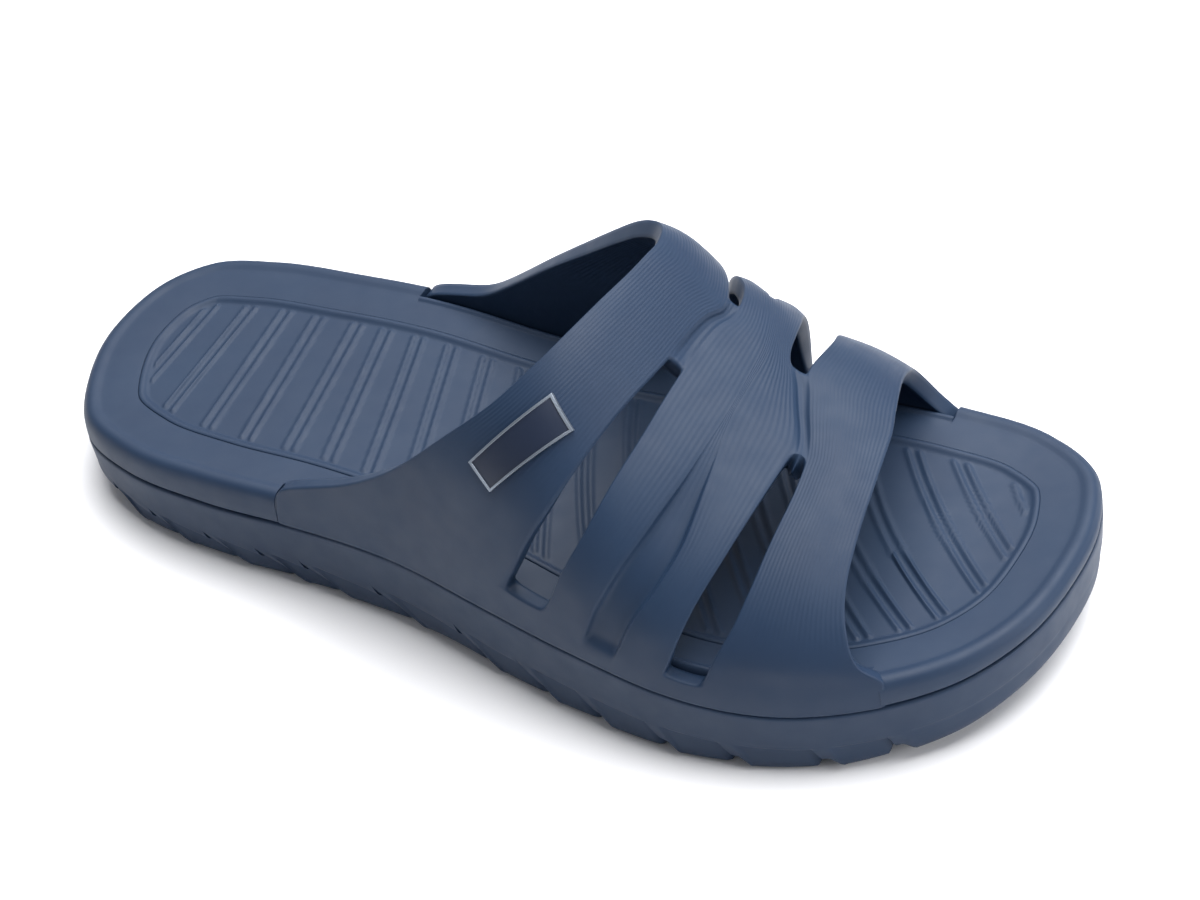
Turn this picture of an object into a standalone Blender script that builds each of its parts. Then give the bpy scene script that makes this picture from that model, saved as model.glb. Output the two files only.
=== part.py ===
# Sport slide sandal, right shoe, moulded foam: outsole, midsole, footbed, strap cage, badge plate.
# The toe points along +X, the inner (big toe) side is +Y, up is +Z, the floor is Z = 0.
import bpy, bmesh, math
from mathutils import Vector, Matrix
from mathutils.bvhtree import BVHTree

MM = 0.001
LENGTH = 279 * MM            # heel to toe
HALF_WIDTH = 57 * MM         # half the width over the ball of the foot
DECK_HEIGHT = 33 * MM        # highest point of the deck rim, at the arch
CAGE_HEIGHT = 100 * MM       # height the crown curve of the strap cage is scaled from
WALL = 4.5 * MM              # thickness of the straps
GAP = 0.3 * MM               # clearance between neighbouring pieces
REBATE = WALL + 1.0 * MM     # how far the deck is set in where the strap wall stands beside it
RIM_BLEND = 9 * MM           # the deck's top comes back to its own line this far in
SIDE_POINTS = 32             # points along each side of the sole
PANEL_INSET = 15.5 * MM      # deck rim: outline to the recess of the footbed
RECESS_DEPTH = 3.6 * MM      # deck rim to the floor of the recess
PANEL_BORDER = 4.0 * MM      # footbed: edge to the end of its border
PANEL_DISH = 14.0 * MM       # footbed: edge to its lowest ring
BADGE_THICKNESS = 1.0 * MM
OUTER_FULLNESS, INNER_FULLNESS, TOE_FULLNESS = 2.3, 2.4, 2.1   # 2 is an elliptic arch, more is fuller

# Outline of the sole: share of the length from the heel, outer and inner edge as shares of the half width.
OUTLINE = [
    # along, outer, inner
    (0.018, -0.22, 0.52), (0.050, -0.47, 0.68), (0.115, -0.63, 0.765), (0.21, -0.70, 0.79),
    (0.31, -0.71, 0.80), (0.42, -0.755, 0.77), (0.52, -0.86, 0.775), (0.62, -0.955, 0.855),
    (0.72, -1.0, 0.94), (0.82, -0.91, 1.0), (0.905, -0.69, 0.97), (0.962, -0.43, 0.82),
    (0.992, -0.14, 0.53)]
HEEL_ACROSS, TOE_ACROSS = 0.12, 0.20
# Heights of the sole along the length, as shares of DECK_HEIGHT.
HEIGHTS = [
    # along, deck rim, parting line, underside
    (0.00, 0.72, 0.48, 0.25), (0.03, 0.755, 0.505, 0.14), (0.08, 0.805, 0.55, 0.045),
    (0.13, 0.85, 0.59, 0.0), (0.29, 0.965, 0.675, 0.0), (0.38, 0.995, 0.73, 0.0), (0.47, 1.0, 0.76, 0.035),
    (0.56, 0.98, 0.76, 0.0), (0.65, 0.955, 0.745, 0.0), (0.83, 0.885, 0.63, 0.0), (0.89, 0.89, 0.65, 0.045),
    (0.945, 0.92, 0.70, 0.14), (1.00, 0.985, 0.80, 0.32)]
# Crown of the strap cage: height as a share of CAGE_HEIGHT, place across as a share of the half width.
CROWN = [
    # along, height, across
    (0.00, 1.0, 0.14), (0.29, 1.01, 0.15), (0.44, 1.01, 0.21), (0.54, 1.0, 0.25), (0.57, 0.975, 0.26),
    (0.597, 0.93, 0.265), (0.617, 0.875, 0.27), (0.652, 0.785, 0.26), (0.688, 0.715, 0.255),
    (0.724, 0.66, 0.25), (0.796, 0.595, 0.235), (0.903, 0.53, 0.21), (1.00, 0.48, 0.18)]
# Edges of the cage and its slots along the length, at shares of the way over the foot, outer to inner base.
EDGES = [
    # over, collar, slot 1 rear, slot 1 front, recess rear, front, slot 2 rear, front, toe edge
    (0.000, 0.290, 0.545, 0.595, 0.634, 0.670, 0.713, 0.752, 0.905),
    (0.038, 0.300, 0.559, 0.602, 0.645, 0.679, 0.724, 0.758, 0.905),
    (0.060, 0.362, 0.568, 0.611, 0.650, 0.684, 0.729, 0.763, 0.905),
    (0.075, 0.387, 0.574, 0.614, 0.653, 0.687, 0.731, 0.765, 0.900),
    (0.100, 0.421, 0.582, 0.620, 0.659, 0.692, 0.735, 0.769, 0.887),
    (0.180, 0.487, 0.607, 0.638, 0.676, 0.710, 0.745, 0.781, 0.871),
    (0.270, 0.545, 0.625, 0.650, 0.692, 0.720, 0.756, 0.785, 0.858),
    (0.360, 0.575, 0.638, 0.658, 0.702, 0.716, 0.763, 0.785, 0.849),
    (0.440, 0.590, 0.648, 0.660, 0.704, 0.708, 0.766, 0.778, 0.840),
    (0.500, 0.597, 0.651, 0.661, 0.700, 0.706, 0.737, 0.751, 0.830),
    (0.540, 0.598, 0.659, 0.667, 0.695, 0.701, 0.719, 0.737, 0.822),
    (0.600, 0.592, 0.651, 0.662, 0.685, 0.692, 0.711, 0.736, 0.811),
    (0.660, 0.579, 0.637, 0.653, 0.673, 0.681, 0.704, 0.733, 0.801),
    (0.730, 0.548, 0.615, 0.636, 0.658, 0.668, 0.694, 0.725, 0.793),
    (0.820, 0.490, 0.590, 0.614, 0.640, 0.656, 0.685, 0.720, 0.785),
    (0.900, 0.420, 0.572, 0.600, 0.630, 0.650, 0.678, 0.718, 0.792),
    (0.940, 0.378, 0.563, 0.595, 0.627, 0.648, 0.675, 0.718, 0.803),
    (0.962, 0.345, 0.558, 0.593, 0.624, 0.647, 0.674, 0.718, 0.812),
    (0.976, 0.282, 0.554, 0.592, 0.622, 0.646, 0.673, 0.718, 0.816),
    (1.000, 0.278, 0.548, 0.590, 0.618, 0.644, 0.672, 0.718, 0.816)]
EDGE_STEPS = [4, 2, 2, 3, 2, 2, 3]          # columns of faces between those edges
OVER_ROWS = [0, .018, .038, .065, .10, .145, .19, .235, .28, .33, .38, .43, .44, .485, .53, .575, .61,
             .655, .70, .75, .80, .85, .90, .94, .962, .976, 1]
# Open slots: which gap between edges, and from where to where over the foot.
SLOTS = [
    # gap, from, to
    (1, 0.038, 0.44), (5, 0.038, 0.43), (1, 0.575, 0.962), (5, 0.53, 0.962)]
# Shaped fields of the cage: first and last gap, from, to, how far the middle stands out (minus is sunk in).
FIELDS = [
    # first, last, from, to, rise
    (3, 3, 0.018, 0.41, -1.8 * MM), (3, 3, 0.66, 0.982, -1.8 * MM), (1, 1, 0.44, 0.575, -1.2 * MM),
    (5, 5, 0.43, 0.53, -1.2 * MM), (2, 2, 0.06, 0.40, 1.0 * MM), (4, 4, 0.06, 0.40, 1.0 * MM),
    (2, 4, 0.36, 0.74, 2.0 * MM), (2, 2, 0.70, 0.94, 1.6 * MM), (4, 4, 0.70, 0.94, 1.6 * MM),
    (6, 6, 0.06, 0.94, 1.2 * MM), (0, 0, 0.10, 0.90, 1.2 * MM)]
ROUNDING_LOSS = 1.4 * MM     # how far the rounding of the cage draws its crown in
# Corners of the badge plate on the outer quarter: along, over.
BADGE = [(0.525, 0.166), (0.589, 0.300), (0.614, 0.283), (0.550, 0.144)]
# Tread channels across the underside, which run on up the sides of the lugs and lean to the heel.
CHANNELS = [
    # outer side, inner side, lean: how far to the heel for each step up
    (0.165, 0.150, 0.9), (0.233, 0.205, 1.1), (0.294, 0.262, 1.1), (0.344, 0.320, 1.1),
    (0.515, 0.480, 0.9), (0.583, 0.552, 0.7), (0.641, 0.618, 0.5), (0.711, 0.684, 0.45),
    (0.778, 0.750, 0.4), (0.855, 0.818, 0.35), (0.910, 0.885, 0.3)]
CHANNEL_RADIUS = 3 * MM
CHANNEL_RISE = 8 * MM        # how far up the side a channel runs


def smooth_table(table, column):
    """Monotone cubic curve through one column of a table, against its first column."""
    xs = [r[0] for r in table]
    ys = [r[column] for r in table]
    slopes = [(ys[i + 1] - ys[i]) / (xs[i + 1] - xs[i]) for i in range(len(xs) - 1)]
    tangents = [slopes[0]]
    for i in range(1, len(xs) - 1):
        a, b = slopes[i - 1], slopes[i]
        ha, hb = xs[i] - xs[i - 1], xs[i + 1] - xs[i]
        wa, wb = 2 * hb + ha, hb + 2 * ha
        tangents.append(0.0 if a * b <= 0 else (wa + wb) / (wa / a + wb / b))
    tangents.append(slopes[-1])

    def value(x):
        x = min(max(x, xs[0]), xs[-1])
        i = max(k for k in range(len(xs) - 1) if xs[k] <= x)
        h = xs[i + 1] - xs[i]
        t = (x - xs[i]) / h
        return ((1 + 2 * t) * (1 - t) ** 2 * ys[i] + t * (1 - t) ** 2 * h * tangents[i]
                + t * t * (3 - 2 * t) * ys[i + 1] + t * t * (t - 1) * h * tangents[i + 1])
    return value


def closed_curve(points, steps):
    """Smooth closed curve through the points, tangents weighted by the chord lengths."""
    n = len(points)
    chord = [(points[(i + 1) % n] - points[i]).length for i in range(n)]
    tangent = []
    for i in range(n):
        a, b = chord[i - 1], chord[i]
        back, on = (points[i] - points[i - 1]) / a, (points[(i + 1) % n] - points[i]) / b
        tangent.append((back * b + on * a) / (a + b))
    curve = []
    for i in range(n):
        p, q, h = points[i], points[(i + 1) % n], chord[i]
        for k in range(steps):
            t = k / steps
            curve.append(p * ((1 + 2 * t) * (1 - t) ** 2) + tangent[i] * (h * t * (1 - t) ** 2)
                         + q * (t * t * (3 - 2 * t)) + tangent[(i + 1) % n] * (h * t * t * (t - 1)))
    return curve


def ramp(t):
    """Smooth rise from 0 to 1."""
    t = min(max(t, 0.0), 1.0)
    return t * t * (3 - 2 * t)


def at(along, across):
    return Vector(((along - 0.5) * LENGTH, across * HALF_WIDTH))


def share(x):
    return x / LENGTH + 0.5


rim_height, parting_height, under_height = (smooth_table(HEIGHTS, k) for k in (1, 2, 3))
inner_keys = [at(r[0], r[2]) for r in OUTLINE]
outer_keys = [at(r[0], r[1]) for r in OUTLINE]
dense = closed_curve([at(0, HEEL_ACROSS)] + inner_keys + [at(1, TOE_ACROSS)] + outer_keys[::-1], 24)
toe_index = 24 * (len(OUTLINE) + 1)
inner_line = dense[:toe_index + 1]
outer_line = [dense[0]] + dense[:toe_index - 1:-1]


def edge_across(line):
    """Sideways place of one edge of the outline at a place along the length."""
    def value(x):
        for a, b in zip(line, line[1:]):
            if a.x <= x <= b.x and b.x > a.x:
                return a.y + (b.y - a.y) * (x - a.x) / (b.x - a.x)
        return line[0].y if x < line[0].x else line[-1].y
    return value


inner_across, outer_across = edge_across(inner_line), edge_across(outer_line)


def side_samples(line, sign, strap=None):
    """Points spread evenly along one side, with the outward direction and how much each is set in.

    Where the strap wall stands beside the deck there is a doubled point at each of its ends.
    """
    run = [0.0]
    for a, b in zip(line, line[1:]):
        run.append(run[-1] + (b - a).length)

    def locate(s):
        i = max(k for k in range(len(run) - 1) if run[k] <= s)
        f = (s - run[i]) / (run[i + 1] - run[i])
        d = (line[i + 1] - line[i]).normalized()
        a = (line[i] - line[i - 1]).normalized() if i else d
        b = (line[i + 2] - line[i + 1]).normalized() if i + 2 < len(line) else d
        d = ((a + d) * (1 - f) + (d + b) * f).normalized()
        return line[i].lerp(line[i + 1], f), Vector((-d.y, d.x)) * sign

    def measure(x):
        i = max(k for k in range(len(line)) if line[k].x <= x)
        return run[i] + (x - line[i].x) / (line[i + 1].x - line[i].x) * (run[i + 1] - run[i])

    marks = [(run[-1] * k / (SIDE_POINTS + 1), None) for k in range(1, SIDE_POINTS + 1)]
    heel_end, toe_end = (measure(x) for x in strap) if strap else (0.0, 0.0)
    if strap:
        fixed = [(heel_end, 0.0), (heel_end + 1e-7, 1.0), (toe_end, 1.0), (toe_end + 1e-7, 0.0)]
        marks = [m for m in marks if all(abs(m[0] - f[0]) > 2.5 * MM for f in fixed)]
        marks = sorted(marks + fixed)
    out = []
    for s, part in marks:
        if part is None:
            part = 1.0 if heel_end < s < toe_end else 0.0
        out.append((*locate(s), part))
    return out


def perimeter(strap_ends=(None, None)):
    """Samples round the sole: heel, inner side, toe, outer side back to the heel."""
    inner = side_samples(inner_line, 1, strap_ends[1])
    outer = side_samples(outer_line, -1, strap_ends[0])
    heel = (inner_line[0], Vector((-1, 0)), 0.0)
    toe = (inner_line[-1], Vector((1, 0)), 0.0)
    return [heel] + inner + [toe] + outer[::-1], len(inner)


def set_in(sample, inset):
    """Point of the outline moved inward; where the strap wall stands the side is set in further."""
    p, normal, part = sample
    if inset < RIM_BLEND:
        inset += part * REBATE * (1 - inset / RIM_BLEND)
    return p - normal * inset


def loft(name, samples, inner_count, rings):
    """Closed solid from rings round the sole; each ring is an inset and a height function of the place."""
    bm = bmesh.new()
    loops = []
    for inset, height in rings:
        loop = []
        for sample in samples:
            q = set_in(sample, inset)
            loop.append(bm.verts.new((q.x, q.y, height(share(q.x)))))
        loops.append(loop)
    n = len(samples)
    for a, b in zip(loops, loops[1:]):
        for i in range(n):
            j = (i + 1) % n
            bm.faces.new((a[i], a[j], b[j], b[i]))
    for loop in (loops[0], loops[-1]):
        left = loop[1:inner_count + 1]
        right = loop[:inner_count + 1:-1]
        bm.faces.new((loop[0], left[0], right[0]))
        bm.faces.new((loop[inner_count + 1], left[-1], right[-1]))
        i = j = 0
        while i < len(left) - 1 or j < len(right) - 1:
            go_left = j == len(right) - 1 or (i < len(left) - 1 and left[i + 1].co.x <= right[j + 1].co.x)
            if go_left:
                bm.faces.new((left[i], left[i + 1], right[j]))
                i += 1
            else:
                bm.faces.new((left[i], right[j], right[j + 1]))
                j += 1
    bmesh.ops.remove_doubles(bm, verts=bm.verts, dist=0.02 * MM)
    bmesh.ops.dissolve_degenerate(bm, edges=bm.edges, dist=0.005 * MM)
    bmesh.ops.recalc_face_normals(bm, faces=bm.faces)
    return make_object(name, bm)


def make_object(name, bm, collection=None):
    mesh = bpy.data.meshes.new(name)
    bm.to_mesh(mesh)
    bm.free()
    obj = bpy.data.objects.new(name, mesh)
    (collection or parts).objects.link(obj)
    return obj


def finish_piece(obj, colour, roughness, smooth_angle=40):
    material = bpy.data.materials.new(obj.name + "_material")
    material.use_nodes = True
    shader = material.node_tree.nodes["Principled BSDF"]
    shader.inputs["Base Color"].default_value = (*colour, 1)
    shader.inputs["Roughness"].default_value = roughness
    obj.data.materials.append(material)
    obj.data.shade_smooth()
    obj.data.set_sharp_from_angle(angle=math.radians(smooth_angle))
    return obj


def above(curve, rise=0.0):
    """Height function: one of the sole's height curves, plus a rise."""
    return lambda s: curve(s) * DECK_HEIGHT + rise


def between(low, high, part, rise=0.0):
    return lambda s: (low(s) * (1 - part) + high(s) * part) * DECK_HEIGHT + rise


for obj in list(bpy.data.objects):
    bpy.data.objects.remove(obj, do_unlink=True)
parts = bpy.data.collections.new("slide_sandal")
cutters = bpy.data.collections.new("cutters")
bpy.context.scene.collection.children.link(parts)
bpy.context.scene.collection.children.link(cutters)

# Outsole: underside, lower side with a step, and the wall up to the parting line.
samples, inner_count = perimeter()
outsole = loft("outsole", samples, inner_count, [
    (5.0 * MM, above(under_height)),
    (2.6 * MM, above(under_height, 0.5 * MM)),
    (1.6 * MM, above(under_height, 2.0 * MM)),
    (1.0 * MM, between(under_height, parting_height, 0.42)),
    (2.0 * MM, between(under_height, parting_height, 0.45)),
    (0.8 * MM, between(under_height, parting_height, 0.80)),
    (0.2 * MM, above(parting_height, -1.0 * MM)),
    (1.0 * MM, above(parting_height))])

# Midsole: the deck with its rounded rim, set in beside the strap wall, and the recess of the footbed.
strap_ends = [((row[1] - 0.5) * LENGTH - GAP, (row[8] - 0.5) * LENGTH + 2 * GAP)
              for row in (EDGES[0], EDGES[-1])]
deck_samples, deck_inner = perimeter(strap_ends)
midsole = loft("midsole", deck_samples, deck_inner, [
    (1.0 * MM, above(parting_height, GAP)),
    (0.2 * MM, above(parting_height, GAP + 1.0 * MM)),
    (0.3 * MM, between(parting_height, rim_height, 0.6)),
    (1.2 * MM, above(rim_height, -1.0 * MM)),
    (2.6 * MM, above(rim_height)),
    (4.6 * MM, above(rim_height, -0.2 * MM)),
    (6.0 * MM, above(rim_height, -0.9 * MM)),
    (PANEL_INSET - 1.2 * MM, above(rim_height, -1.2 * MM)),
    (PANEL_INSET - 0.4 * MM, above(rim_height, -1.6 * MM)),
    (PANEL_INSET, above(rim_height, -RECESS_DEPTH))])

# Footbed: a thin panel lying in the recess, its top just under the rim and slightly dished.
footbed = loft("footbed", samples, inner_count, [
    (PANEL_INSET + GAP + 0.3 * MM, above(rim_height, -RECESS_DEPTH + GAP)),
    (PANEL_INSET + GAP, above(rim_height, -2.2 * MM)),
    (PANEL_INSET + GAP + 0.5 * MM, above(rim_height, -1.7 * MM)),
    (PANEL_INSET + PANEL_BORDER, above(rim_height, -1.8 * MM)),
    (PANEL_INSET + PANEL_DISH, above(rim_height, -2.1 * MM))])

# Upper: the strap cage, arches over the foot between its collar and its toe edge, slots left open.
crown_height, crown_across = smooth_table(CROWN, 1), smooth_table(CROWN, 2)
edge_curves = [smooth_table(EDGES, k) for k in range(1, 9)]


def cage_point(along, over):
    """Outside of the cage: an arch across the foot at one place along it."""
    x = (along - 0.5) * LENGTH
    turn = math.pi * over
    base = parting_height(along) * DECK_HEIGHT + GAP
    top = crown_height(along) * CAGE_HEIGHT
    middle = crown_across(along) * HALF_WIDTH
    inner_fullness = INNER_FULLNESS + (TOE_FULLNESS - INNER_FULLNESS) * ramp((along - 0.70) / 0.10)
    fullness = OUTER_FULLNESS if over <= 0.5 else inner_fullness
    side = (outer_across(x) if over <= 0.5 else inner_across(x)) - middle
    side += (0.4 * MM) * (1 if over <= 0.5 else -1)
    spread = abs(math.cos(turn)) ** (2 / fullness)
    lift = max(math.sin(turn), 0.0) ** (2 / fullness)
    return Vector((x, middle + side * spread, base + (top - base) * lift))


columns = []
for gap, steps in enumerate(EDGE_STEPS):
    columns += [(gap, k / steps) for k in range(steps)]
columns.append((len(EDGE_STEPS) - 1, 1.0))


def cage_vertex(column, over):
    gap, part = column
    a, b = edge_curves[gap](over), edge_curves[gap + 1](over)
    along = a + (b - a) * part
    p = cage_point(along, over)
    e = 0.002
    d_along = cage_point(along + e, over) - cage_point(along - e, over)
    low, high = max(over - e, 0.0), min(over + e, 1.0)
    d_over = cage_point(along, high) - cage_point(along, low)
    normal = d_along.cross(d_over).normalized()
    rise = ROUNDING_LOSS * math.sin(math.pi * over)
    for first, last, start, end, amount in FIELDS:
        if first <= gap <= last and start < over < end:
            near, far = edge_curves[first](over), edge_curves[last + 1](over)
            across = (along - near) / (far - near)
            if not 0.001 < across < 0.999:
                continue
            bell = 1.0 if amount < 0 else math.sin(math.pi * across)
            rise += amount * bell * ramp((over - start) / 0.04) * ramp((end - over) / 0.04)
    return p + normal * rise


bm = bmesh.new()
grid = [[bm.verts.new(cage_vertex(c, v)) for c in columns] for v in OVER_ROWS]
for r, (va, vb) in enumerate(zip(OVER_ROWS, OVER_ROWS[1:])):
    for k, (gap, part) in enumerate(columns[:-1]):
        if any(g == gap and s <= va and vb <= e for g, s, e in SLOTS):
            continue
        bm.faces.new((grid[r][k], grid[r][k + 1], grid[r + 1][k + 1], grid[r + 1][k]))
bmesh.ops.delete(bm, geom=[v for v in bm.verts if not v.link_faces], context="VERTS")
crease = bm.edges.layers.float.new("crease_edge")
base = set(grid[0] + grid[-1])
ends = {grid[r][k] for r in (0, 1, 2, -3, -2, -1) for k in (0, -1)}
for edge in bm.edges:
    if edge.is_boundary and (base.issuperset(edge.verts) or ends.issuperset(edge.verts)):
        edge[crease] = 1.0
upper = make_object("upper", bm)
thicken = upper.modifiers.new("Wall", "SOLIDIFY")
thicken.thickness = WALL
thicken.offset = -1
thicken.use_even_offset = True
thicken.edge_crease_rim = 0.0
rounding = upper.modifiers.new("Rounding", "SUBSURF")
rounding.levels = rounding.render_levels = 1

# Badge plate: a thin plate with straight sides, bent to the outside of the cage on the outer quarter.
bpy.context.view_layer.update()
graph = bpy.context.evaluated_depsgraph_get()
cage_tree = BVHTree.FromObject(upper, graph)
corners = [cage_tree.find_nearest(cage_point(*corner) + Vector((0, 0, 2 * MM)))[0] for corner in BADGE]
facing = (corners[1] - corners[0]).cross(corners[3] - corners[0]).normalized()
facing = facing if facing.z > 0 else -facing
bm = bmesh.new()
rows = []
for i in range(7):
    row = []
    for j in range(4):
        start, end = corners[0].lerp(corners[1], i / 6), corners[3].lerp(corners[2], i / 6)
        row.append(cage_tree.ray_cast(start.lerp(end, j / 3) + facing * 10 * MM, -facing)[0])
    rows.append(row)
low = [[bm.verts.new(h + facing * (GAP + 0.1 * MM)) for h in row] for row in rows]
high = [[bm.verts.new(h + facing * (GAP + 0.1 * MM + BADGE_THICKNESS)) for h in row] for row in rows]
for i in range(6):
    for j in range(3):
        bm.faces.new((low[i][j], low[i][j + 1], low[i + 1][j + 1], low[i + 1][j]))
        bm.faces.new((high[i][j], high[i + 1][j], high[i + 1][j + 1], high[i][j + 1]))
ring = [(i, 0) for i in range(7)] + [(6, j) for j in range(1, 4)] + [(i, 3) for i in range(5, -1, -1)]
ring += [(0, j) for j in range(2, 0, -1)]
for a, b in zip(ring, ring[1:] + ring[:1]):
    bm.faces.new((low[a[0]][a[1]], low[b[0]][b[1]], high[b[0]][b[1]], high[a[0]][a[1]]))
bmesh.ops.recalc_face_normals(bm, faces=bm.faces)
badge = make_object("badge_plate", bm)

# Tread channels: round cuts across the underside, then tapered cuts up the outside of the lugs.
across_bm, side_bm = bmesh.new(), bmesh.new()
for outer, inner, lean in CHANNELS:
    feet = []
    for along, edge in ((outer, outer_across), (inner, inner_across)):
        x = (along - 0.5) * LENGTH
        feet.append(Vector((x, edge(x), under_height(along) * DECK_HEIGHT)))
    span = feet[1] - feet[0]
    turn = math.atan2(span.x, span.y)
    place = Matrix.Translation((feet[0] + feet[1]) / 2) @ Matrix.Rotation(-turn, 4, "Z")
    bmesh.ops.create_cone(
        across_bm, cap_ends=True, segments=8, radius1=CHANNEL_RADIUS, radius2=CHANNEL_RADIUS,
        depth=3 * HALF_WIDTH, matrix=place @ Matrix.Rotation(math.pi / 2, 4, "X"))
    for foot in feet:
        along_cut = Vector((-lean, 0, 1)).normalized()
        middle = foot + along_cut * (CHANNEL_RISE / 2 - 1 * MM)
        aim = along_cut.to_track_quat("Z", "Y").to_matrix().to_4x4()
        bmesh.ops.create_cone(
            side_bm, cap_ends=True, segments=6, radius1=CHANNEL_RADIUS, radius2=0.4 * CHANNEL_RADIUS,
            depth=CHANNEL_RISE + 2 * MM, matrix=Matrix.Translation(middle) @ aim)
for name, cutter_bm in (("across_cutter", across_bm), ("side_cutter", side_bm)):
    cutter = make_object(name, cutter_bm, cutters)
    cutter.hide_render = True
    cutter.display_type = "WIRE"
    cut = outsole.modifiers.new(name, "BOOLEAN")
    cut.operation = "DIFFERENCE"
    cut.solver = "EXACT"
    cut.object = cutter

finish_piece(outsole, (0.032, 0.055, 0.105), 0.62)
finish_piece(midsole, (0.036, 0.060, 0.110), 0.58)
finish_piece(footbed, (0.036, 0.060, 0.110), 0.60)
finish_piece(upper, (0.036, 0.060, 0.110), 0.55)
finish_piece(badge, (0.02, 0.035, 0.07), 0.40)
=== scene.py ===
# Sport slide sandal, right shoe: a moulded foam sole with a ribbed footbed under a slotted strap cage.
# The toe points along +X, the inner (big toe) side is +Y, up is +Z, the floor is Z = 0.
import math
import bpy
import bmesh
from mathutils import Matrix, Vector
from mathutils.bvhtree import BVHTree


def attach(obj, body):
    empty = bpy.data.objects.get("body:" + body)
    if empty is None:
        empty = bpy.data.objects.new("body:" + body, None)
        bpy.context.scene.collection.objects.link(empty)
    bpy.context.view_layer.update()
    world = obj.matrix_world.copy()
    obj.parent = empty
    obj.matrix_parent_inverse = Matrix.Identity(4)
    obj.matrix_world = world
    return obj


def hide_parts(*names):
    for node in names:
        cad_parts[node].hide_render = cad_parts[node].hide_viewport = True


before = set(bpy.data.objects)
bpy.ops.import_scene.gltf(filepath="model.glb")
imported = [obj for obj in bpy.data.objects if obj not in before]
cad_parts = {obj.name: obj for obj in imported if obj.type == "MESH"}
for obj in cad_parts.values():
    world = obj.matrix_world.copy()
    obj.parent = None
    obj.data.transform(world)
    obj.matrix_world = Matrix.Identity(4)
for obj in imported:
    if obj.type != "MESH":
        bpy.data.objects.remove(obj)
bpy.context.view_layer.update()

MM = 0.001
SLACK = 1e-6                 # for comparing shares that should be equal
LENGTH = 279 * MM            # heel to toe
HALF_WIDTH = 57 * MM         # half the width over the ball of the foot
DECK_HEIGHT = 33 * MM        # highest point of the deck rim, at the arch
CAGE_HEIGHT = 99.9 * MM      # height the crown curve of the strap cage is scaled from
WALL = 4.5 * MM              # thickness of the straps
GAP = 0.3 * MM               # clearance between neighbouring pieces
REBATE = WALL + 0.3 * MM     # how far the deck is set in where the strap wall stands beside it
LAP = 0.8 * MM               # how far the deck laps round the rounded ends of the strap wall
DOUBLED = 0.0001 * MM        # distance between the two marks at an end of the strap wall
RIM_BLEND = 9 * MM           # the deck's top comes back to its own line this far in
PANEL_INSET = 15.5 * MM      # deck rim: outline to the recess of the footbed
RECESS_DEPTH = 3.6 * MM      # deck rim to the floor of the recess
FLOOR_DROP = 1.9 * MM        # deck rim to the floor of the footbed between its ribs
RIB_HEIGHT = 0.75 * MM
RIB_HALF = 0.8 * MM          # middle of a rib to its foot
PAIR_HALF = 1.45 * MM        # middle of a pair of ribs to the middle of one rib
RIB_REACH = 8 * MM           # nothing of a pair of ribs lies further than this from its curve
GROOVE_DEPTH = 0.2 * MM      # how deep the floor is hollowed between the two ribs of a pair
CHANNEL_DEPTH = 2.3 * MM     # tread channels, at the bottom edge
NOTCH_STEEP, NOTCH_EASY = 1.8 * MM, 4.5 * MM    # run of a channel's heel side and toe side
STRIP = 4.6 * MM             # width of the strips of side wall that run down between the lugs
LUG_SUNK = 1.3 * MM          # how far the toe end of a lug lies behind the next strip
STRIP_EDGE = 1.0 * MM        # run from a strip back into the lug on its toe side
RIDGE_HALF = 0.3 * MM        # half the run from a sunk lug out to the strip
TIP_FADE = 30 * MM           # the lugs come up over this run from the heel tip and from the toe tip
STEP_LINE = 0.46             # height of the step line over the lugs, as a share of the tread sole's height
STEP_FALL = 0.03             # how far the step line falls along a lug, as a share of that height
HEEL_FALL = 0.10             # how much further it falls along the lugs of the heel half
HALF_WAY, HALF_RUN = 0.5, 0.12                  # where the heel half ends, and the run over which it does
LUG_HEEL_SHARE = 0.25        # how much of LUG_SUNK there is at the heel end of a lug already
HEAD_RUN = 0.44              # share of that height over which the wall comes out above the step line
WALL_IN = 0.35 * MM          # the side wall lies this far inside the outline,
STEP_IN = 0.6 * MM           # this much further up to the step line,
FOOT_IN = 1.0 * MM           # and this much further again at its foot
MIDDLE_FROM, MIDDLE_TO = -98 * MM, 94 * MM      # ends of the line along the middle of the sole
CLOSED = 0.985               # a lid's last ring, as a share of the way to the middle line
CAGE_INSET = 0.4 * MM        # outline of the sole to the foot of the strap cage
TOE_FROM, TOE_RUN = 0.70, 0.10                  # where TOE_FULLNESS comes in along the inner side
ARCH_ROUND = 230 * MM        # about the way round the arch of the cage, from base to base
FIELD_EDGE = 0.09            # a sunk field of the cage goes down over this share of its width
BASE_OUTER, BASE_INNER = 0.039, 0.961           # beyond these shares over the foot the cage keeps sharp edges
PLATE_THICKNESS = 1.0 * MM
PLATE_RIM = 0.3 * MM         # how far the rim of the side plate stands up
PLATE_SEAT = GAP + 0.1 * MM  # clearance under the side plate
PLATE_LONG, PLATE_SHORT = 40, 16                # faces along the side plate and across it
RAY_START = 10 * MM          # how far over the cage the search for the plate's seat starts
OUTLINE_STEPS = 24           # points of the outline from one key to the next
TREAD_MARKS, DECK_MARKS, PANEL_MARKS = 399, 319, 459    # points along each side of a ring
OUTER_FULLNESS, INNER_FULLNESS, TOE_FULLNESS = 2.3, 2.4, 2.1    # 2 is an elliptic arch, more is fuller

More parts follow.
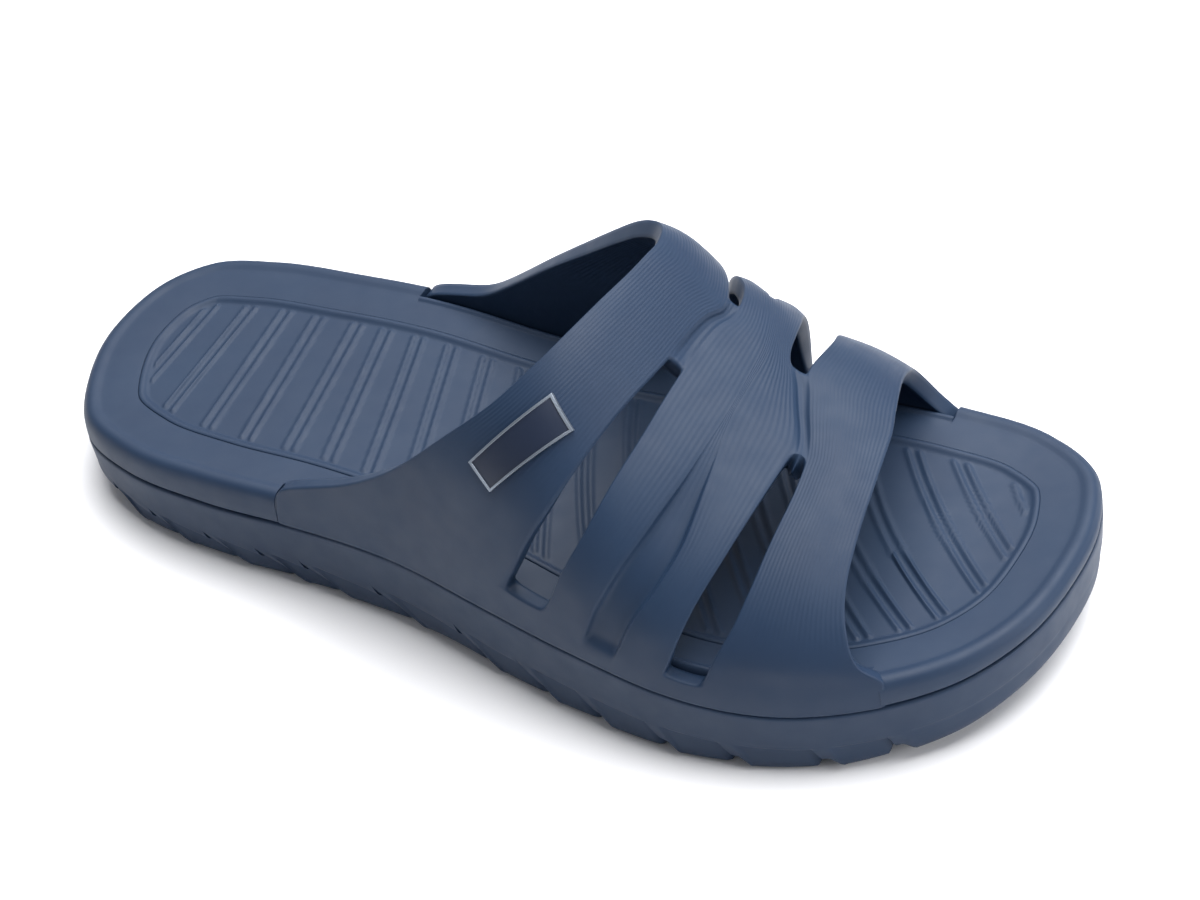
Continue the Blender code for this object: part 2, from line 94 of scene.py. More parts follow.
# Outline of the sole: share of the length from the heel, outer and inner edge as shares of the half width.
OUTLINE = [
    # along, outer, inner
    (0.018, -0.22, 0.52), (0.050, -0.47, 0.68), (0.115, -0.63, 0.765), (0.21, -0.70, 0.79),
    (0.31, -0.71, 0.80), (0.42, -0.755, 0.77), (0.52, -0.86, 0.775), (0.62, -0.955, 0.855),
    (0.72, -1.0, 0.94), (0.82, -0.91, 1.0), (0.905, -0.69, 0.97), (0.962, -0.43, 0.82),
    (0.992, -0.14, 0.53)]
HEEL_ACROSS, TOE_ACROSS = 0.12, 0.20
# Heights of the sole along the length, as shares of DECK_HEIGHT, and how far the side channels lean
# towards the heel for each step up.
HEIGHTS = [
    # along, deck rim, parting line, underside, lean
    (0.00, 0.72, 0.48, 0.25, 0.0), (0.03, 0.755, 0.505, 0.14, 0.1), (0.08, 0.805, 0.55, 0.045, 0.7),
    (0.13, 0.85, 0.59, 0.0, 1.1), (0.29, 0.965, 0.675, 0.0, 1.1), (0.38, 0.995, 0.73, 0.0, 1.1),
    (0.47, 1.0, 0.76, 0.035, 1.0), (0.56, 0.98, 0.76, 0.0, 0.8), (0.65, 0.955, 0.745, 0.0, 0.5),
    (0.83, 0.885, 0.63, 0.0, 0.35), (0.89, 0.89, 0.65, 0.045, 0.3), (0.945, 0.92, 0.70, 0.14, 0.1),
    (1.00, 0.985, 0.80, 0.32, 0.0)]
# Crown of the strap cage: height as a share of CAGE_HEIGHT, place across as a share of the half width.
CROWN = [
    # along, height, across
    (0.00, 1.0, 0.14), (0.29, 1.01, 0.15), (0.44, 1.01, 0.21), (0.54, 1.0, 0.25), (0.57, 0.975, 0.26),
    (0.597, 0.93, 0.265), (0.617, 0.875, 0.27), (0.652, 0.785, 0.26), (0.688, 0.715, 0.255),
    (0.724, 0.66, 0.25), (0.796, 0.595, 0.235), (0.903, 0.53, 0.21), (1.00, 0.48, 0.18)]
# Edges of the cage and its slots along the length, at shares of the way over the foot from the outer base
# to the inner base.
EDGES = [
    # over, collar, slot 1 rear, slot 1 front, recess rear, front, slot 2 rear, front, toe edge
    (0.000, 0.290, 0.545, 0.595, 0.634, 0.670, 0.713, 0.752, 0.905),
    (0.038, 0.300, 0.559, 0.602, 0.645, 0.679, 0.724, 0.758, 0.905),
    (0.060, 0.362, 0.568, 0.611, 0.650, 0.684, 0.729, 0.763, 0.905),
    (0.075, 0.387, 0.574, 0.614, 0.653, 0.687, 0.731, 0.765, 0.900),
    (0.100, 0.421, 0.582, 0.620, 0.659, 0.692, 0.735, 0.769, 0.887),
    (0.180, 0.487, 0.607, 0.638, 0.676, 0.710, 0.745, 0.781, 0.871),
    (0.270, 0.545, 0.625, 0.650, 0.692, 0.720, 0.756, 0.785, 0.858),
    (0.360, 0.575, 0.638, 0.658, 0.702, 0.716, 0.763, 0.785, 0.849),
    (0.440, 0.590, 0.648, 0.660, 0.704, 0.708, 0.766, 0.778, 0.840),
    (0.500, 0.597, 0.651, 0.661, 0.700, 0.706, 0.737, 0.751, 0.830),
    (0.540, 0.598, 0.659, 0.667, 0.695, 0.701, 0.719, 0.737, 0.822),
    (0.600, 0.592, 0.651, 0.662, 0.685, 0.692, 0.711, 0.736, 0.811),
    (0.660, 0.579, 0.637, 0.653, 0.673, 0.681, 0.704, 0.733, 0.801),
    (0.730, 0.548, 0.615, 0.636, 0.658, 0.668, 0.694, 0.725, 0.793),
    (0.820, 0.490, 0.590, 0.614, 0.640, 0.656, 0.685, 0.720, 0.785),
    (0.900, 0.420, 0.572, 0.600, 0.630, 0.650, 0.678, 0.718, 0.792),
    (0.940, 0.378, 0.563, 0.595, 0.627, 0.648, 0.675, 0.718, 0.803),
    (0.962, 0.345, 0.558, 0.593, 0.624, 0.647, 0.674, 0.718, 0.812),
    (0.976, 0.282, 0.554, 0.592, 0.622, 0.646, 0.673, 0.718, 0.816),
    (1.000, 0.278, 0.548, 0.590, 0.618, 0.644, 0.672, 0.718, 0.816)]
# Shares of the way over the foot at which rows of faces meet; each gap is halved once more.
OVER_ROWS = [0, .018, .038, .065, .10, .145, .19, .235, .28, .33, .38, .43, .44, .485, .53, .575, .61,
             .655, .70, .75, .80, .85, .90, .94, .962, .976, 1]
# Bands and slots of the cage, heel to toe: where the lines of faces run across each, and its moulded lines.
BANDS = [
    # shares of the way across, moulded lines
    ((0, .06, .18, .32, .46, .60, .74, .87), 24), ((0, .2, .5, .8), 3), ((0, .13, .37, .63, .87), 10),
    ((0, .035, .10, .38, .62, .90, .965), 4), ((0, .13, .37, .63, .87), 10), ((0, .2, .5, .8), 3),
    ((0, .08, .24, .42, .60, .78, .93), 22)]
# Open slots: which gap between edges, from and to over the foot, how far each end is rounded out.
SLOTS = [
    # gap, from, to, round at from, round at to
    (1, 0.038, 0.44, 0.6 * MM, 0.8 * MM), (5, 0.038, 0.43, 0.6 * MM, 1.4 * MM),
    (1, 0.575, 0.962, 1.2 * MM, 0.6 * MM), (5, 0.53, 0.962, 1.0 * MM, 0.6 * MM)]
# Shaped fields of the cage: how far the middle stands out (minus is sunk in), and over what it comes up.
FIELDS = [
    # first gap, last gap, from, to, rise, run up at from, run up at to
    (3, 3, 0.026, 0.41, -2.0 * MM, 0.008, 0.14), (3, 3, 0.66, 0.976, -1.5 * MM, 0.10, 0.010),
    (1, 1, 0.44, 0.575, -1.2 * MM, 0.03, 0.03), (5, 5, 0.43, 0.53, -1.2 * MM, 0.03, 0.03),
    (2, 2, 0.06, 0.42, 0.8 * MM, 0.05, 0.12), (4, 4, 0.06, 0.42, 0.8 * MM, 0.05, 0.12),
    (2, 4, 0.30, 0.78, 1.4 * MM, 0.14, 0.12), (2, 2, 0.68, 0.94, 1.0 * MM, 0.08, 0.05),
    (4, 4, 0.68, 0.94, 1.0 * MM, 0.08, 0.05), (6, 6, 0.06, 0.94, 1.0 * MM, 0.05, 0.05),
    (0, 0, 0.10, 0.90, 0.9 * MM, 0.05, 0.05)]
# Pairs of ribs on the footbed: where each crosses three lines along the foot, inner, middle and outer.
RIB_LINES = (36 * MM, 4 * MM, -28 * MM)
RIBS = [
    # inner, middle, outer
    (0.084, 0.081, 0.077), (0.122, 0.123, 0.124), (0.157, 0.167, 0.177), (0.192, 0.208, 0.224),
    (0.233, 0.253, 0.272), (0.263, 0.290, 0.317), (0.296, 0.330, 0.362), (0.332, 0.369, 0.407),
    (0.371, 0.410, 0.452), (0.409, 0.452, 0.496), (0.448, 0.493, 0.547), (0.482, 0.529, 0.597),
    (0.523, 0.577, 0.658), (0.561, 0.622, 0.708), (0.597, 0.665, 0.762), (0.629, 0.704, 0.815),
    (0.667, 0.747, 0.873), (0.706, 0.791, 0.937), (0.752, 0.842, 1.002), (0.801, 0.912, 1.066),
    (0.849, 0.970, 1.127), (0.905, 1.020, 1.180)]
# Tread channels of the sole: along at the outer side and at the inner side.
CHANNELS = [
    # outer, inner
    (0.105, 0.100), (0.165, 0.150), (0.233, 0.205), (0.294, 0.262), (0.344, 0.320), (0.425, 0.400),
    (0.515, 0.480), (0.583, 0.552), (0.641, 0.618), (0.711, 0.684), (0.778, 0.750), (0.855, 0.818),
    (0.910, 0.885)]
# Corners of the side plate on the outer quarter: along, over.
PLATE = [(0.525, 0.166), (0.589, 0.300), (0.614, 0.283), (0.550, 0.144)]


def smooth_table(table, column):
    """Monotone cubic curve through one column of a table, against its first column."""
    xs = [r[0] for r in table]
    ys = [r[column] for r in table]
    slopes = [(ys[i + 1] - ys[i]) / (xs[i + 1] - xs[i]) for i in range(len(xs) - 1)]
    tangents = [slopes[0]]
    for i in range(1, len(xs) - 1):
        a, b = slopes[i - 1], slopes[i]
        ha, hb = xs[i] - xs[i - 1], xs[i + 1] - xs[i]
        wa, wb = 2 * hb + ha, hb + 2 * ha
        tangents.append(0.0 if a * b <= 0 else (wa + wb) / (wa / a + wb / b))
    tangents.append(slopes[-1])

    def value(x):
        x = min(max(x, xs[0]), xs[-1])
        i = max(k for k in range(len(xs) - 1) if xs[k] <= x)
        h = xs[i + 1] - xs[i]
        t = (x - xs[i]) / h
        return ((1 + 2 * t) * (1 - t) ** 2 * ys[i] + t * (1 - t) ** 2 * h * tangents[i]
                + t * t * (3 - 2 * t) * ys[i + 1] + t * t * (t - 1) * h * tangents[i + 1])
    return value


def closed_curve(points, steps):
    """Smooth closed curve through the points, tangents weighted by the chord lengths."""
    n = len(points)
    chord = [(points[(i + 1) % n] - points[i]).length for i in range(n)]
    tangent = []
    for i in range(n):
        a, b = chord[i - 1], chord[i]
        back, on = (points[i] - points[i - 1]) / a, (points[(i + 1) % n] - points[i]) / b
        tangent.append((back * b + on * a) / (a + b))
    curve = []
    for i in range(n):
        p, q, h = points[i], points[(i + 1) % n], chord[i]
        for k in range(steps):
            t = k / steps
            curve.append(p * ((1 + 2 * t) * (1 - t) ** 2) + tangent[i] * (h * t * (1 - t) ** 2)
                         + q * (t * t * (3 - 2 * t)) + tangent[(i + 1) % n] * (h * t * t * (t - 1)))
    return curve


def ramp(t):
    """Smooth rise from 0 to 1."""
    t = min(max(t, 0.0), 1.0)
    return t * t * (3 - 2 * t)


def at(along, across):
    """Point on the floor from a share of the length and a share of the half width."""
    return Vector(((along - 0.5) * LENGTH, across * HALF_WIDTH))


def share(x):
    """Share of the length, from the heel, at a place along it."""
    return x / LENGTH + 0.5


rim_height, parting_height, under_height, lean = (smooth_table(HEIGHTS, k) for k in (1, 2, 3, 4))
inner_keys = [at(r[0], r[2]) for r in OUTLINE]
outer_keys = [at(r[0], r[1]) for r in OUTLINE]
dense = closed_curve([at(0, HEEL_ACROSS)] + inner_keys + [at(1, TOE_ACROSS)] + outer_keys[::-1],
                     OUTLINE_STEPS)
toe_index = OUTLINE_STEPS * (len(OUTLINE) + 1)
inner_line = dense[:toe_index + 1]
outer_line = [dense[0]] + dense[:toe_index - 1:-1]


class Side:
    """One side of the outline, from heel to toe, measured along its own length."""

    def __init__(self, line, sign, other):
        self.line, self.sign, self.run = line, sign, [0.0]
        # next points past the heel tip and the toe tip, so that both sides agree on the direction there
        self.before, self.beyond = other[1], other[-2]
        for a, b in zip(line, line[1:]):
            self.run.append(self.run[-1] + (b - a).length)
        self.length = self.run[-1]
        self.hint = 0       # stretch of the last look-up, where the next one starts

    def place(self, s):
        """Point of the side and its outward direction."""
        s = min(max(s, 0.0), self.length)
        i = self.hint
        while i > 0 and self.run[i] > s:
            i -= 1
        while i < len(self.run) - 2 and self.run[i + 1] < s:
            i += 1
        self.hint = i
        f = (s - self.run[i]) / (self.run[i + 1] - self.run[i])
        d = (self.line[i + 1] - self.line[i]).normalized()
        a = (self.line[i] - (self.line[i - 1] if i else self.before)).normalized()
        b = ((self.line[i + 2] if i + 2 < len(self.line) else self.beyond) - self.line[i + 1]).normalized()
        d = ((a + d) * (1 - f) + (d + b) * f).normalized()
        return self.line[i].lerp(self.line[i + 1], f), Vector((-d.y, d.x)) * self.sign

    def measure(self, x):
        """Distance along the side at which it passes a place along the length."""
        i = max(k for k in range(len(self.line) - 1) if self.line[k].x <= x)
        f = (x - self.line[i].x) / (self.line[i + 1].x - self.line[i].x)
        return self.run[i] + f * (self.run[i + 1] - self.run[i])

    def across(self, x):
        """Sideways place of the side at a place along the length."""
        if x <= self.line[0].x or x >= self.line[-1].x:
            return self.line[0].y if x <= self.line[0].x else self.line[-1].y
        return self.place(self.measure(x))[0].y


inner_side, outer_side = Side(inner_line, 1, outer_line), Side(outer_line, -1, inner_line)


def marks_round(count, strap_ends=None, kept=None):
    """Marks round the sole: side, distance along it, and 1 where it is set in for the strap wall.

    They go from the heel along the inner side to the toe and back along the outer side. There is a doubled
    mark at each end of the strap wall, and a pair of marks at each place along a side that has to be kept.
    """
    rows = []
    for index, side in enumerate((inner_side, outer_side)):
        marks = [side.length * k / (count + 1) for k in range(1, count + 1)]
        for s in (kept[side] if kept else ()):
            nearest = min(range(count - 1), key=lambda k: abs(marks[k] + marks[k + 1] - 2 * s))
            marks[nearest], marks[nearest + 1] = s - RIDGE_HALF, s + RIDGE_HALF
        row = [(side, s, 0.0) for s in marks]
        if strap_ends:
            heel_end, toe_end = (side.measure(x) for x in strap_ends[index])
            row = [(side, s, 1.0 if heel_end < s < toe_end else 0.0) for s in marks]
            for end, before in ((toe_end, 1.0), (heel_end, 0.0)):
                nearest = min(range(count), key=lambda k: abs(marks[k] - end))
                row[nearest:nearest + 1] = [(side, end, before), (side, end + DOUBLED, 1 - before)]
        rows.append(row)
    return [(inner_side, 0.0, 0.0)] + rows[0] + [(inner_side, inner_side.length, 0.0)] + rows[1][::-1]


def toward_middle(q, mark, part):
    """Moves a point of a ring towards the line along the middle, where the two sides meet in pairs."""
    if not part:
        return q
    way = mark[1] / mark[0].length
    x = sum(side.place(way * side.length)[0].x for side in (inner_side, outer_side)) / 2
    x = min(max(x, MIDDLE_FROM), MIDDLE_TO)
    return q.lerp(Vector((x, (inner_side.across(x) + outer_side.across(x)) / 2)), part)


def close_lid(bm, order, edges, total):
    """Bridges the slit that the last ring leaves along the middle line, and fills its two ends."""
    sides = [e for e in edges if all(v[order] not in (0, total // 2) for v in e.verts)]
    bmesh.ops.bridge_loops(bm, edges=sides)
    bmesh.ops.holes_fill(bm, edges=[e for e in bm.edges if e.is_boundary], sides=4)


def draw_up(marks, rings, shape):
    """Closed body round the sole, extruded ring by ring, with each point placed by shape(mark, ring)."""
    bm = bmesh.new()
    order = bm.verts.layers.int.new("order")
    bmesh.ops.create_circle(bm, cap_ends=False, segments=len(marks), radius=1)
    for i, vert in enumerate(bm.verts):
        vert[order] = i
    verts, edges = list(bm.verts), list(bm.edges)
    first = edges
    for k, ring in enumerate(rings):
        if k:
            drawn = set(bmesh.ops.extrude_edge_only(bm, edges=edges)["geom"])
            verts = [g for g in drawn if isinstance(g, bmesh.types.BMVert)]
            fresh = set(verts)
            edges = [g for g in drawn if isinstance(g, bmesh.types.BMEdge) and fresh.issuperset(g.verts)]
        for vert in verts:
            vert.co = shape(marks[vert[order]], ring)
    close_lid(bm, order, first, len(marks))
    close_lid(bm, order, edges, len(marks))
    return bm


def keep_piece(name, bm, materials, node, smooth_angle=50):
    """Turns a finished mesh into a piece of the shoe that stands for its CAD solid; angle 0 is all smooth."""
    bmesh.ops.recalc_face_normals(bm, faces=bm.faces)
    mesh = bpy.data.meshes.new(name)
    bm.to_mesh(mesh)
    bm.free()
    piece = bpy.data.objects.new(name, mesh)
    bpy.context.scene.collection.objects.link(piece)
    for material in materials:
        mesh.materials.append(material)
    mesh.shade_smooth()
    if smooth_angle:
        mesh.set_sharp_from_angle(angle=math.radians(smooth_angle))
    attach(piece, "root")
    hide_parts(node)
    return piece


def linear(code):
    """sRGB hex colour as the linear colour that a shader wants."""
    parts = [int(code[i:i + 2], 16) / 255 for i in (0, 2, 4)]
    return tuple(p / 12.92 if p <= 0.04045 else ((p + 0.055) / 1.055) ** 2.4 for p in parts) + (1.0,)


def add_node(tree, kind, inputs=(), **settings):
    """Adds a node with its settings; an input is a value or the socket it is linked from."""
    made = tree.nodes.new(kind)
    for key, value in settings.items():
        setattr(made, key, value)
    for key, value in dict(inputs).items():
        if isinstance(value, bpy.types.NodeSocket):
            tree.links.new(value, made.inputs[key])
        else:
            made.inputs[key].default_value = value
    return made


def noise(tree, place, scale, detail):
    """Uneven field over the piece, from 0 to 1."""
    return add_node(tree, "ShaderNodeTexNoise",
                    {"Vector": place, "Scale": scale, "Detail": detail}).outputs["Fac"]


def moulded_foam(name, deep, pale, roughness, strap_lines=False):
    """Closed-skin EVA foam from a steel mould: an even colour, a satin skin, and a faint leathery grain."""
    material = bpy.data.materials.new(name)
    material.use_nodes = True
    tree = material.node_tree
    shader = tree.nodes["Principled BSDF"]
    place = add_node(tree, "ShaderNodeTexCoord").outputs["Object"]
    # slow drift of the tone, patches about 20 mm across
    drift = noise(tree, place, 50.0, 3.0)
    tone = add_node(tree, "ShaderNodeMix", {"Factor": drift}, data_type="RGBA")
    # Mix has sockets named A and B for each type of data; these are the colour ones
    for key, colour in (("A", deep), ("B", pale)):
        socket = [s for s in tone.inputs if s.name == key and s.type == "RGBA"][0]
        socket.default_value = linear(colour)
    tree.links.new([s for s in tone.outputs if s.type == "RGBA"][0], shader.inputs["Base Color"])
    # skin grain about 0.7 mm across, drawn a little coarser than the real one so that it shows
    grain = noise(tree, place, 1400.0, 2.0)
    uneven = noise(tree, place, 160.0, 4.0)
    gloss = add_node(tree, "ShaderNodeMapRange", {
        "Value": uneven, "From Min": 0.3, "From Max": 0.7,
        "To Min": roughness - 0.05, "To Max": roughness + 0.05})
    tree.links.new(gloss.outputs["Result"], shader.inputs["Roughness"])
    skin = add_node(tree, "ShaderNodeBump", {"Height": grain, "Strength": 0.18, "Distance": 0.05 * MM})
    normal = skin.outputs["Normal"]
    if strap_lines:
        # fine moulded lines that follow the straps, 1.3 mm apart; the map counts them across and goes
        # from 0 at the outer base to 1 at the inner base along the strap. They start above the outer
        # base and end before the inner base
        lines = add_node(tree, "ShaderNodeSeparateXYZ", {
            "Vector": add_node(tree, "ShaderNodeUVMap", uv_map="strap_lines").outputs["UV"]})
        turn = add_node(tree, "ShaderNodeMath", {0: lines.outputs["X"], 1: 2 * math.pi}, operation="MULTIPLY")
        wave = add_node(tree, "ShaderNodeMath", {0: turn.outputs["Value"]}, operation="SINE")
        start = add_node(tree, "ShaderNodeMapRange", {
            "Value": lines.outputs["Y"], "From Min": 0.13, "From Max": 0.24}, interpolation_type="SMOOTHSTEP")
        end = add_node(tree, "ShaderNodeMapRange", {
            "Value": lines.outputs["Y"], "From Min": 0.92, "From Max": 0.85}, interpolation_type="SMOOTHSTEP")
        both = add_node(tree, "ShaderNodeMath", {0: start.outputs["Result"], 1: end.outputs["Result"]},
                        operation="MULTIPLY")
        height = add_node(tree, "ShaderNodeMath", {0: wave.outputs["Value"], 1: both.outputs["Value"]},
                          operation="MULTIPLY")
        normal = add_node(tree, "ShaderNodeBump", {
            "Height": height.outputs["Value"], "Normal": normal, "Strength": 0.4, "Distance": 0.06 * MM}
        ).outputs["Normal"]
    tree.links.new(normal, shader.inputs["Normal"])
    shader.inputs["IOR"].default_value = 1.48
    # the lined straps catch more of the light, so their skin is a little duller
    shader.inputs["Specular IOR Level"].default_value = 0.25 if strap_lines else 0.3
    return material


def satin_plate(name, colour, roughness, metallic=0.0):
    """Moulded ABS or plated trim: smoother than the foam, with a faint spread of gloss."""
    material = bpy.data.materials.new(name)
    material.use_nodes = True
    tree = material.node_tree
    shader = tree.nodes["Principled BSDF"]
    place = add_node(tree, "ShaderNodeTexCoord").outputs["Object"]
    uneven = noise(tree, place, 900.0, 3.0)
    gloss = add_node(tree, "ShaderNodeMapRange", {
        "Value": uneven, "To Min": roughness - 0.06, "To Max": roughness + 0.06})
    tree.links.new(gloss.outputs["Result"], shader.inputs["Roughness"])
    bump = add_node(tree, "ShaderNodeBump", {"Height": uneven, "Strength": 0.08, "Distance": 0.03 * MM})
    tree.links.new(bump.outputs["Normal"], shader.inputs["Normal"])
    shader.inputs["Base Color"].default_value = linear(colour)
    shader.inputs["Metallic"].default_value = metallic
    return material


def set_in(mark, inset):
    """Point of the outline moved inward; where the strap wall stands the side is set in further."""
    side, s, part = mark
    point, outward = side.place(s)
    if inset < RIM_BLEND:
        inset += part * REBATE * (1 - inset / RIM_BLEND)
    return point - outward * inset


# Tread sole: the side wall runs down in leaning strips; between them each lug is sunk deeper towards the toe.
RIDGES = {inner_side: [inner_side.measure((inner - 0.5) * LENGTH) for outer, inner in CHANNELS],
          outer_side: [outer_side.measure((outer - 0.5) * LENGTH) for outer, inner in CHANNELS]}


def notch(away):
    """Channel profile at a distance past its ridge: steep on the heel side, easy on the toe side."""
    if away < 0:
        return 1 - ramp(-away / NOTCH_STEEP)
    return 1 - ramp((away - STRIP / 4) / NOTCH_EASY)


def lug_at(side, s):
    """Distance past the last ridge, distance to the next, and share of the way between them."""
    start = max((r for r in RIDGES[side] if r <= s), default=-LENGTH)
    stop = min((r for r in RIDGES[side] if r > s), default=side.length + LENGTH)
    return s - start, stop - s, (s - start) / (stop - start)


def tread_rise(x, y):
    """Height of the channels that cross the underside."""
    t = (y - outer_side.across(x)) / (inner_side.across(x) - outer_side.across(x))
    return CHANNEL_DEPTH * max(notch(x - (outer + (inner - outer) * t - 0.5) * LENGTH)
                               for outer, inner in CHANNELS)


def wall_inset(level):
    """How far the side wall lies inside the outline, at a share of its height."""
    foot = 1 - math.sin(math.pi / 2 * min(max(level, 0.0) / STEP_LINE, 1.0))
    head = 1 - min(max((level - STEP_LINE) / HEAD_RUN, 0.0), 1.0)
    return WALL_IN + FOOT_IN * foot + STEP_IN * head


def tread_shape(mark, ring):
    """A ring is: way up to the step line, way on to the parting line, inset, rise, lug, way to the middle."""
    side, s, part = mark
    low, high, inset, rise, lug, inward = ring
    past, ahead, way = lug_at(side, s)
    ends = ramp(min(s, side.length - s) / TIP_FADE)
    here = share(side.place(s)[0].x)
    tall = (parting_height(here) - under_height(here)) * DECK_HEIGHT
    fall = STEP_FALL + HEEL_FALL * (1 - ramp((here - HALF_WAY) / HALF_RUN))
    step = tall * (STEP_LINE - fall * way * ends)
    height = step * low + (tall - step) * high + rise
    point, outward = side.place(s - lean(here) * ends * min(max(height, 0.0), STEP_LINE * tall))
    here = share(point.x)
    notched = CHANNEL_DEPTH * max(notch(past), notch(-ahead))
    sunk = LUG_SUNK * (LUG_HEEL_SHARE + (1 - LUG_HEEL_SHARE) * way) * ramp((past - STRIP) / STRIP_EDGE) * ends
    inset += wall_inset(height / tall) + lug * sunk
    if high == 0:
        inset += 0.5 * notched * (1 - low)
        height = notched + height * (1 - notched / step)
    q = toward_middle(point - outward * inset, mark, inward)
    here = share(q.x)
    if inward and low == 0:
        return Vector((q.x, q.y, under_height(here) * DECK_HEIGHT + tread_rise(q.x, q.y)))
    if inward:
        return Vector((q.x, q.y, parting_height(here) * DECK_HEIGHT))
    under, parting = under_height(here) * DECK_HEIGHT, parting_height(here) * DECK_HEIGHT
    return Vector((q.x, q.y, under + height / tall * (parting - under)))


tread_rings = [
    # way up to the step line, way on to the parting line, inset, rise, how far it follows the lug, way to
    # the middle
    (0, 0, 3.5 * MM, 0, 1, CLOSED - k * CLOSED / 12) for k in range(12)]
tread_rings += [
    (0, 0, 3.5 * MM, 0, 1, 0), (0, 0, 2.2 * MM, 0.12 * MM, 1, 0), (0, 0, 1.2 * MM, 0.45 * MM, 1, 0),
    (0, 0, 0.55 * MM, 1.0 * MM, 1, 0), (0, 0, 0.2 * MM, 1.7 * MM, 1, 0)]
tread_rings += [(k / 12, 0, 0, 0, 1, 0) for k in range(4, 12)]
tread_rings += [
    (0.95, 0, 0, 0, 0.8, 0), (1, 0, 0, 0, 0.45, 0), (1, 0.02, 0, 0, 0.15, 0), (1, 0.05, 0, 0, 0, 0)]
tread_rings += [(1, 0.05 + 0.81 * k / 6, 0, 0, 0, 0) for k in range(1, 7)]
tread_rings += [
    (1, 1, 0, -1.0 * MM, 0, 0), (1, 1, 0.15 * MM, -0.45 * MM, 0, 0), (1, 1, 0.7 * MM, -0.1 * MM, 0, 0),
    (1, 1, 1.3 * MM, 0, 0, 0), (1, 1, 1.3 * MM, 0, 0, 0.5), (1, 1, 1.3 * MM, 0, 0, CLOSED)]
bm = draw_up(marks_round(TREAD_MARKS, kept=RIDGES), tread_rings, tread_shape)
foam_sole = moulded_foam("eva_foam_sole", "1A2A41", "1F3148", 0.56)
foam_upper = moulded_foam("eva_foam_straps", "1A2A41", "1F3148", 0.53, strap_lines=True)
keep_piece("tread_sole", bm, [foam_sole], "outsole")

# Deck: rounded bead round the rim, a smooth dished border, and the recess of the foot panel.
# The strap wall goes from the collar to the toe edge, at the inner base and at the outer base.
strap_ends = [((row[1] - 0.5) * LENGTH + LAP, (row[8] - 0.5) * LENGTH - LAP)
              for row in (EDGES[-1], EDGES[0])]


def deck_shape(mark, ring):
    """A ring is: inset, share of the way from the parting line up to the rim, rise, way to the middle."""
    inset, part, rise, inward = ring
    q = toward_middle(set_in(mark, inset), mark, inward)
    here = share(q.x)
    low, high = parting_height(here), rim_height(here)
    return Vector((q.x, q.y, (low + (high - low) * part) * DECK_HEIGHT + rise))


deck_rings = [
    # inset, from the parting line to the rim, rise, way to the middle
    (1.6 * MM, 0, GAP, CLOSED), (1.6 * MM, 0, GAP, 0.5), (1.6 * MM, 0, GAP, 0),
    (0.9 * MM, 0, GAP + 0.1 * MM, 0), (0.45 * MM, 0, GAP + 0.5 * MM, 0), (0.3 * MM, 0, GAP + 1.2 * MM, 0),
    (0.3 * MM, 0.35, 0, 0), (0.4 * MM, 0.6, 0, 0), (0.65 * MM, 1, -2.2 * MM, 0), (1.2 * MM, 1, -1.0 * MM, 0),
    (1.9 * MM, 1, -0.35 * MM, 0), (2.8 * MM, 1, 0, 0), (3.7 * MM, 1, -0.02 * MM, 0),
    (4.5 * MM, 1, -0.2 * MM, 0), (5.2 * MM, 1, -0.5 * MM, 0), (5.9 * MM, 1, -0.62 * MM, 0),
    (7.0 * MM, 1, -0.65 * MM, 0), (RIM_BLEND, 1, -0.75 * MM, 0),
    (12.0 * MM, 1, -0.95 * MM, 0), (14.4 * MM, 1, -1.15 * MM, 0), (15.35 * MM, 1, -1.25 * MM, 0),
    (PANEL_INSET, 1, -1.6 * MM, 0), (PANEL_INSET + 0.1 * MM, 1, -RECESS_DEPTH, 0),
    (PANEL_INSET, 1, -RECESS_DEPTH, 0.5), (PANEL_INSET, 1, -RECESS_DEPTH, CLOSED)]
bm = draw_up(marks_round(DECK_MARKS, strap_ends), deck_rings, deck_shape)
keep_piece("sole_deck", bm, [foam_sole], "midsole")


# Foot panel: a raised border and pairs of thin ribs that fan over the heel and curve over the forefoot.
def rib_curves():
    """Each pair of ribs as a curve: place along the length against place across, and its slope."""
    curves = []
    a, b, c = RIB_LINES
    for row in RIBS:
        xa, xb, xc = ((v - 0.5) * LENGTH for v in row)
        bend = ((xa - xb) / (a - b) - (xb - xc) / (b - c)) / (a - c)
        slope = (xa - xb) / (a - b) - bend * (a + b)
        curves.append((bend, slope, xb - slope * b - bend * b * b))
    return curves


rib_list = rib_curves()


def rib_rise(x, y):
    """Height of the ribs over the floor of the foot panel."""
    rise = 0.0
    for bend, slope, start in rib_list:
        away = x - (bend * y * y + slope * y + start)
        if abs(away) < RIB_REACH:
            away /= math.hypot(1, 2 * bend * y + slope)
            for middle in (-PAIR_HALF, PAIR_HALF):
                d = abs(away - middle) / RIB_HALF
                if d < 1:
                    rise = max(rise, RIB_HEIGHT * (0.5 + 0.5 * math.cos(math.pi * d)))
            if abs(away) < PAIR_HALF - 0.5 * RIB_HALF:
                rise -= GROOVE_DEPTH * (1 - ramp(abs(away) / (PAIR_HALF - 0.5 * RIB_HALF)))
    return rise


def panel_shape(mark, ring):
    """A ring is: inset, rise from the rim, way to the middle, ribs or not."""
    inset, rise, inward, ribs = ring
    q = toward_middle(set_in(mark, inset), mark, inward)
    if ribs:
        rise += rib_rise(q.x, q.y)
    return Vector((q.x, q.y, rim_height(share(q.x)) * DECK_HEIGHT + rise))


